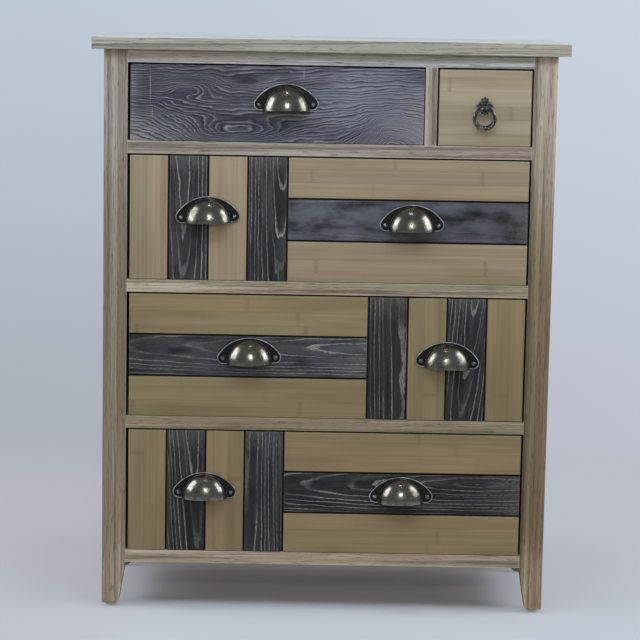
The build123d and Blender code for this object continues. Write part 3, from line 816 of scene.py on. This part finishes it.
# how each dark slat was sawn: way from its tree's middle (across, in), lean (across, in) in degrees,
# how much of the line and the haze was rubbed out of the stain, and how this grows along the slat
darkSlats = {
    "upper_drawer": {
        1: ((0.006, 0.013), (3.0, 1.0), (1.0, 0.22, -0.25)),
        3: ((-0.017, 0.011), (4.2, -1.0), (1.0, 0.12, 0.0)),
        5: ((0.004, 0.050), (0.8, 0.6), (0.14, 0.92, -0.30)),
    },
    "middle_drawer": {
        1: ((-0.004, 0.012), (3.6, -5.0), (0.85, 0.08, 0.0)),
        3: ((-0.020, 0.030), (0.8, 0.8), (0.80, 0.05, 0.0)),
        5: ((0.012, 0.012), (3.2, 0.4), (0.88, 0.52, 0.25)),
    },
    "lower_drawer": {
        1: ((-0.012, 0.014), (2.2, 3.0), (0.95, 0.10, -0.25)),
        3: ((0.022, 0.016), (1.5, 1.2), (0.90, 0.16, 0.0)),
        5: ((0.013, 0.010), (5.5, 0.6), (0.88, 0.08, -0.35)),
    },
}
plainSlat = ((0, 0.02), (0, 0), (1, 1, 0))
slatMarks = {"boardPlace": "FLOAT_VECTOR", "treePlace": "FLOAT_VECTOR", "rubbed": "FLOAT_COLOR"}


def slatPlan(drawer):
    # middle and size of each slat: four uprights and three levels, the middle drawer mirrored
    low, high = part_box(drawer + "_front_board")
    gap = slatCut["gap"]
    mirrored = drawer == "middle_drawer"
    uprightWidth = (slatCut["uprightBlock"] - (slatCut["uprights"] - 1) * gap) / slatCut["uprights"]
    levelHeight = (high.z - low.z - (slatCut["levels"] - 1) * gap) / slatCut["levels"]
    levelWidth = high.x - low.x - slatCut["uprightBlock"] - gap
    middleZ = (low.z + high.z) / 2
    plan = []
    for i in range(slatCut["uprights"]):
        fromEdge = uprightWidth / 2 + i * (uprightWidth + gap)
        x = high.x - fromEdge if mirrored else low.x + fromEdge
        plan.append({"middle": (x, middleZ), "size": (uprightWidth, high.z - low.z), "upright": True})
    for i in range(slatCut["levels"]):
        x = low.x + levelWidth / 2 if mirrored else high.x - levelWidth / 2
        z = low.z + levelHeight / 2 + i * (levelHeight + gap)
        plan.append({"middle": (x, z), "size": (levelWidth, levelHeight), "upright": False})
    return plan


def markSlat(made, drawer, index, slat, frontY):
    # where each point lies on the board, where it was in the tree, and how it was rubbed
    for label, kind in slatMarks.items():
        made.data.attributes.new(label, kind, "POINT")
    onBoard, inTree, color = (made.data.attributes[label] for label in slatMarks)
    seed = index + 10 * ("upper_drawer", "middle_drawer", "lower_drawer").index(drawer)
    heart, lean, (lines, haze, growth) = darkSlats[drawer].get(index, plainSlat)
    sawn = Matrix.Rotation(math.radians(lean[0]), 4, "X") @ Matrix.Rotation(math.radians(lean[1]), 4, "Y")
    x, z = slat["middle"]
    stepAcross, stepAlong = slatCut["boardSteps"]
    for i, vertex in enumerate(made.data.vertices):
        side, inward, up = vertex.co - Vector((x, frontY, z))
        if not slat["upright"]:
            side, up = -up, side
        onBoard.data[i].vector = (side + stepAcross * seed, inward + seed, up + stepAlong * seed)
        place = sawn @ Vector((side + heart[0], inward + heart[1], up))
        inTree.data[i].vector = (place.x, place.y, place.z + seed)
        along = 2 * up / max(slat["size"])
        grown = 1 + growth * along
        color.data[i].color = (lines * grown, haze * grown, along, 1)


def makeSlat(drawer, index, slat, frontY):
    x, z = slat["middle"]
    width, height = slat["size"]
    bpy.ops.mesh.primitive_cube_add(size=1, location=(x, frontY + slatCut["thickness"] / 2, z))
    made = bpy.context.object
    made.scale = (width, slatCut["thickness"], height)
    settle(made, f"{drawer}Slat{index}")
    selectWhere(made, lambda face: face.normal.y < -0.5)
    bpy.ops.mesh.bevel(offset=slatCut["edge"], segments=slatCut["edgeSteps"], profile=slatCut["edgeProfile"])
    objectMode()
    markSlat(made, drawer, index, slat, frontY)
    return made


# the drawers' tints paint light and shade as well as tone: the upper drawer lighter and bluer, the two below
# darker, as the light falls from above
bambooSlatWood = {
    "upper_drawer": makeBamboo("upperBamboo", (1.17, 1.17, 1.25)),
    "middle_drawer": makeBamboo("middleBamboo", (0.91, 0.90, 0.77)),
    "lower_drawer": makeBamboo("lowerBamboo", (0.94, 0.90, 0.78)),
}
darkSlatWood = makeStained("darkSlatWood")


def makeSlats(drawer):
    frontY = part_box(drawer + "_bamboo_slats")[0].y
    slats = [makeSlat(drawer, i, slat, frontY) for i, slat in enumerate(slatPlan(drawer))]
    woods = (("bamboo", bambooSlatWood[drawer], "bamboo"), ("dark", darkSlatWood, "dark_wood"))
    for kind, material, slot in woods:
        same = [s for i, s in enumerate(slats) if (i in darkSlats[drawer]) == (kind == "dark")]
        piece = pick(*same)
        bpy.ops.object.join()
        settle(piece, f"{drawer}_{kind}_slats_cut")
        bpy.ops.object.shade_smooth_by_angle(angle=math.radians(slatCut["smoothAngle"]))
        dress(piece, material)
        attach(piece, drawer)
        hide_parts(f"{drawer}_{kind}_slats")


for drawer in darkSlats:
    makeSlats(drawer)
print("slats done")


def makeClouded(name, values):
    # two close tones in soft clouds, for paint and plastic
    material, tree, shader = newMaterial(name, Roughness=values["rough"])
    cloud = noise(tree, ownPlace(tree), values["scale"], 3)["Fac"]
    body = mix(tree, ramp(tree, cloud, 0.3, 0.7), values["dark"], values["pale"])
    finish(tree, shader, body, cloud, *values["relief"])
    return material


blackPaint = {
    "dark": (0.004, 0.004, 0.005),
    "pale": (0.009, 0.009, 0.010),
    "rough": 0.6,
    "scale": 90.0,
    "relief": (0.0001, 0.3),
}
blackBoard = makeClouded("blackBoard", blackPaint)
for drawer in darkSlats:
    dress(nodes[drawer + "_front_board"], blackBoard)

smallFront = {
    # the tint paints light as well as tone: lighter and bluer, like the other pieces high on the chest
    "tint": (1.22, 1.28, 1.43),
    "mapping": {"Rotation": (0, -math.pi / 2, 0), "Location": (0.618, 4.2, 0.1)},
}
smallFrontBamboo = makeBamboo("smallFrontBamboo", smallFront["tint"], smallFront["mapping"])
dress(nodes["small_drawer_front"], smallFrontBamboo)

wideFront = {
    "ground": (0.050, 0.050, 0.056),
    "navy": (0.018, 0.022, 0.042),
    "mist": (0.150, 0.157, 0.200),
    "line": (0.008, 0.009, 0.015),
    "crest": (0.270, 0.280, 0.310),
    "worn": (0.260, 0.255, 0.235),
    "gloss": {"Roughness": 0.52, "Specular IOR Level": 0.35},
    "heart": (-0.60, 0.135, 0.0),
    "lean": (0.9, 2.2),
    "rings": {"Spacing": 0.0042, "Wobble": 0.012, "Ripple": 0.40, "Crisp": 0.40},
    "threads": {"Across": 800.0, "Along": 25.0},
    "wear": {"Width": 0.0018, "Patch": 150.0},
    "bendScale": (26, 1, 60),
    "bendReach": (0.010, 0.0, 0.011),
    "cloudScale": (9, 1, 26),
    "mistScale": (14, 1, 30),
    "groundBlend": (0.35, 0.65, (0.35, 1.0)),
    "mistToRight": (-0.20, 0.08, (-0.20, 0.26)),
    "mistBlend": (0.40, 0.78, (0.05, 0.90)),
    "rubbedThreads": (0.30, 0.62, (0.45, 1.0)),
    "lineTone": (0.0, 0.7, (0.60, 1.00)),
    "crestStart": (0.0, 0.10),  # shares of a ring where its pale crest starts and ends
    "crestEnd": (0.14, 0.34, (1.0, 0.0)),
    "crestThreads": (0.3, 0.6, (0.1, 0.75)),
    "crestMist": (0.35, 0.62, (0.35, 1.0)),
    "threadBlend": (0.4, 0.8, (0.0, 0.3)),
    "scratchThreads": (0.40, 0.55, (0.2, 0.8)),
    "scratchHalfWidth": 0.0006,
    "wearShare": 0.65,
    "lineRelief": 0.8,
    "relief": (0.0004, 0.7),
    "knots": (  # middle of a knot, its reach across and along in metres, and how many rings it adds
        ((0.080, 0.600), (0.037, 0.034), -16.0),
        ((-0.118, 0.618), (0.058, 0.013), 7.0),
        ((-0.178, 0.672), (0.032, 0.010), -5.0),
        ((-0.100, 0.679), (0.040, 0.006), 2.5),
        ((-0.255, 0.622), (0.078, 0.050), -9.0),
    ),
    "rubbed": (  # middle, reach and strength of the places rubbed back to grey
        ((-0.248, 0.606), (0.055, 0.026), 0.90),
        ((-0.252, 0.660), (0.009, 0.040), 0.60),
        ((0.118, 0.606), (0.045, 0.034), 0.55),
        ((0.114, 0.640), (0.016, 0.030), 0.35),
    ),
    "inked": (  # middle, reach and strength of the places where the stain lies thickest
        ((-0.205, 0.656), (0.042, 0.014), 0.95),
        ((-0.085, 0.615), (0.045, 0.012), 0.80),
        ((0.015, 0.612), (0.060, 0.013), 0.70),
        ((0.105, 0.690), (0.030, 0.010), 0.55),
    ),
    "scratches": (  # upright scratches: where across, the middle's height, and how long
        (-0.2266, 0.672, 0.032),
        (-0.2240, 0.640, 0.014),
        (-0.0340, 0.690, 0.012),
    ),
}


def nearSpot(tree, place, middle, reach):
    # 1 in the middle of a spot of the front, falling to 0 past its reach
    away = vecCalc(tree, "SUBTRACT", place, (middle[0], 0, middle[1]))
    away = vecCalc(tree, "MULTIPLY", away, (1 / reach[0], 0, 1 / reach[1]))
    return calc(tree, "POWER", 2.0, times(tree, vecCalc(tree, "DOT_PRODUCT", away, away), -1.4))


def addSpots(tree, place, spots, total=0.0):
    for middle, reach, strength in spots:
        total = calc(tree, "MULTIPLY_ADD", nearSpot(tree, place, middle, reach), strength, total)
    return total


def makeWideFront():
    material, tree, shader = newMaterial("wideFrontStain", **wideFront["gloss"])
    own = ownPlace(tree)
    bend = centred(tree, grain(tree, own, wideFront["bendScale"])["Color"])
    bent = vecCalc(tree, "MULTIPLY_ADD", bend, wideFront["bendReach"], own)
    place = treePlace(tree, "X", wideFront["heart"], wideFront["lean"])
    lift = split(tree, vecCalc(tree, "SUBTRACT", bent, own))["Z"]
    rise = calc(tree, "DIVIDE", lift, wideFront["rings"]["Spacing"])
    rise = addSpots(tree, bent, wideFront["knots"], rise)
    rings = useGroup(tree, growthRings, place, {**wideFront["rings"], "Rise": rise})
    threads = useGroup(tree, fibres, place, wideFront["threads"])
    cloud = grain(tree, own, wideFront["cloudScale"], 3)["Fac"]
    mistCloud = grain(tree, own, wideFront["mistScale"], 3, 0.55)["Fac"]
    body = lay(tree, wideFront["navy"], wideFront["ground"], cloud, wideFront["groundBlend"])
    toRight = ramp(tree, split(tree, own)["X"], *wideFront["mistToRight"])
    mist = calc(tree, "ADD", toRight, mistCloud)
    body = lay(tree, body, wideFront["mist"], mist, wideFront["mistBlend"])
    rub = addSpots(tree, bent, wideFront["rubbed"])
    rub = times(tree, rub, ramp(tree, threads["Thread"], *wideFront["rubbedThreads"]))
    body = mix(tree, rub, body, wideFront["worn"])
    body = mix(tree, addSpots(tree, bent, wideFront["inked"]), body, wideFront["navy"])
    line = times(tree, rings["Line"], ramp(tree, rings["Tone"], *wideFront["lineTone"]))
    body = mix(tree, line, body, wideFront["line"])
    crestStart = ramp(tree, rings["Ring"], *wideFront["crestStart"])
    crest = times(tree, crestStart, ramp(tree, rings["Ring"], *wideFront["crestEnd"]))
    crest = times(tree, crest, ramp(tree, threads["Thread"], *wideFront["crestThreads"]))
    crest = times(tree, crest, ramp(tree, mistCloud, *wideFront["crestMist"]))
    body = mix(tree, crest, body, wideFront["crest"])
    body = lay(tree, body, wideFront["mist"], threads["Thread"], wideFront["threadBlend"])
    for across, middle, length in wideFront["scratches"]:
        scratch = nearSpot(tree, own, (across, middle), (wideFront["scratchHalfWidth"], length / 2))
        scratch = times(tree, scratch, ramp(tree, threads["Thread"], *wideFront["scratchThreads"]))
        body = mix(tree, scratch, body, wideFront["crest"])
    wear = useGroup(tree, edgeWear, own, wideFront["wear"])["Mask"]
    body = mix(tree, times(tree, wear, wideFront["wearShare"]), body, wideFront["worn"])
    relief = calc(tree, "SUBTRACT", threads["Thread"], times(tree, rings["Line"], wideFront["lineRelief"]))
    finish(tree, shader, body, relief, *wideFront["relief"])
    dress(nodes["wide_drawer_front"], material)


makeWideFront()
print("fronts done")

# metals and plastic

plainMetal = {
    "cloudScale": 160.0,
    "speckScale": 900.0,
    "wearPatch": 300.0,
    "shineBlend": (0.45, 0.75, (0.0, 0.5)),
    "speckBlend": (0.62, 0.75, (0.0, 0.35)),
    "roughSpan": (0.3, 0.7),
    "relief": (0.00012, 0.25),
}


def makeMetal(name, dark, bright, rough, wearWidth=0.0006):
    material, tree, shader = newMaterial(name, Metallic=1.0)
    place = ownPlace(tree)
    cloud = noise(tree, place, plainMetal["cloudScale"], 4, 0.6)["Fac"]
    speck = noise(tree, place, plainMetal["speckScale"], 2, 0.5)["Fac"]
    worn = useGroup(tree, edgeWear, place, {"Width": wearWidth, "Patch": plainMetal["wearPatch"]})["Mask"]
    shine = calc(tree, "MAXIMUM", ramp(tree, cloud, *plainMetal["shineBlend"]), worn)
    body = mix(tree, shine, dark, bright)
    body = lay(tree, body, dark, speck, plainMetal["speckBlend"])
    tree.links.new(ramp(tree, cloud, *plainMetal["roughSpan"], rough), shader.inputs["Roughness"])
    finish(tree, shader, body, cloud, *plainMetal["relief"])
    return material


brass = {
    "polished": (0.268, 0.264, 0.242),
    "rimHighlight": (0.800, 0.820, 0.800),
    "patina": (0.026, 0.027, 0.024),
    "tarnish": (0.150, 0.142, 0.100),
    "cloudScale": 120.0,
    "speckScale": 700.0,
    "pitScale": 330.0,
    "rimFace": 0.0020,  # how far the rim's face and the end of the dome's dark root stand out
    "rootEnd": 0.0038,
    "rimSpan": (-0.0003, -0.0001),  # where the rim starts and ends, and the dome starts, from its face
    "pastSpan": (0.0002, 0.0004),
    "domeStart": 0.0005,
    "tarnishBlend": (0.40, 0.66),
    "speckBlend": (0.60, 0.74, (0.0, 0.55)),
    "rimRound": 0.0012,
    "rimUp": (-0.25, 0.15, (0.04, 1.0)),
    "rimCloud": (0.30, 0.60, (1.0, 0.45)),
    "rimMetal": (0.2, 0.9, (1.0, 0.35)),  # less metal under the rim's painted highlight, so that it shows white from all round
    "roughBlend": (0.35, 0.70, (0.17, 0.30)),
    "rootRough": 0.2,
    "pitBlend": (0.66, 0.72, (0.0, -1.0)),
    "relief": (0.00012, 0.3),
}


def makeBrass():
    # bright where cloths and fingers reach, dark in the hollow between the rim and the dome, with a painted
    # highlight along the rim's upper edge
    material, tree, shader = newMaterial("agedBrass", Metallic=1.0)
    place = ownPlace(tree)
    face = brass["rimFace"]
    forward = calc(tree, "SUBTRACT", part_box("wide_drawer_front")[0].y, split(tree, place)["Y"])
    cloud = noise(tree, place, brass["cloudScale"], 4, 0.6)["Fac"]
    speck = noise(tree, place, brass["speckScale"], 2, 0.5)["Fac"]
    pit = noise(tree, place, brass["pitScale"], 1, 0.5)["Fac"]
    proud = ramp(tree, forward, *(face + step for step in brass["rimSpan"]))
    past = ramp(tree, forward, *(face + step for step in brass["pastSpan"]))
    dome = ramp(tree, forward, face + brass["domeStart"], brass["rootEnd"])
    body = lay(tree, brass["polished"], brass["tarnish"], cloud, brass["tarnishBlend"])
    body = lay(tree, body, brass["patina"], speck, brass["speckBlend"])
    body = mix(tree, dome, brass["patina"], body)
    # painted highlight: the rim is painted near white along its upper edge only, where it faces the light
    # above
    rounded = put(tree, "Bevel", {"Radius": brass["rimRound"]}, samples=6).outputs["Normal"]
    lookingUp = ramp(tree, split(tree, rounded)["Z"], *brass["rimUp"])
    rimHighlight = times(tree, calc(tree, "SUBTRACT", proud, past), lookingUp, ramp(tree, cloud, *brass["rimCloud"]))
    body = mix(tree, rimHighlight, body, brass["rimHighlight"])
    tree.links.new(ramp(tree, rimHighlight, *brass["rimMetal"]), shader.inputs["Metallic"])
    root = ramp(tree, forward, face, brass["rootEnd"], (1.0, 0.0))
    rough = ramp(tree, cloud, *brass["roughBlend"])
    rough = calc(tree, "MULTIPLY_ADD", root, brass["rootRough"], rough)
    tree.links.new(rough, shader.inputs["Roughness"])
    dent = calc(tree, "ADD", cloud, ramp(tree, pit, *brass["pitBlend"]))
    finish(tree, shader, body, dent, *brass["relief"])
    return material


glide = {
    "dark": (0.62, 0.61, 0.57),
    "pale": (0.74, 0.73, 0.70),
    "rough": 0.45,
    "scale": 140.0,
    "relief": (0.0001, 0.2),
}
agedBrass = makeBrass()
screwSteel = makeMetal("screwSteel", (0.16, 0.17, 0.19), (0.60, 0.60, 0.62), (0.36, 0.26))
darkBronze = makeMetal("darkBronze", (0.045, 0.052, 0.060), (0.62, 0.61, 0.58), (0.36, 0.24), 0.0009)
dress(nodes["foot_glides"], makeClouded("glidePlastic", glide))
for node in nodes:
    if node.endswith("cup_pulls") or node.endswith("cup_pull"):
        dress(nodes[node], agedBrass)
    elif node.endswith("pull_screws") or node == "eye_nut":
        dress(nodes[node], screwSteel)
for node in ("ring_rosette", "ring_eye", "pull_ring"):
    dress(nodes[node], darkBronze)
print("metals done")

print("all pieces done")
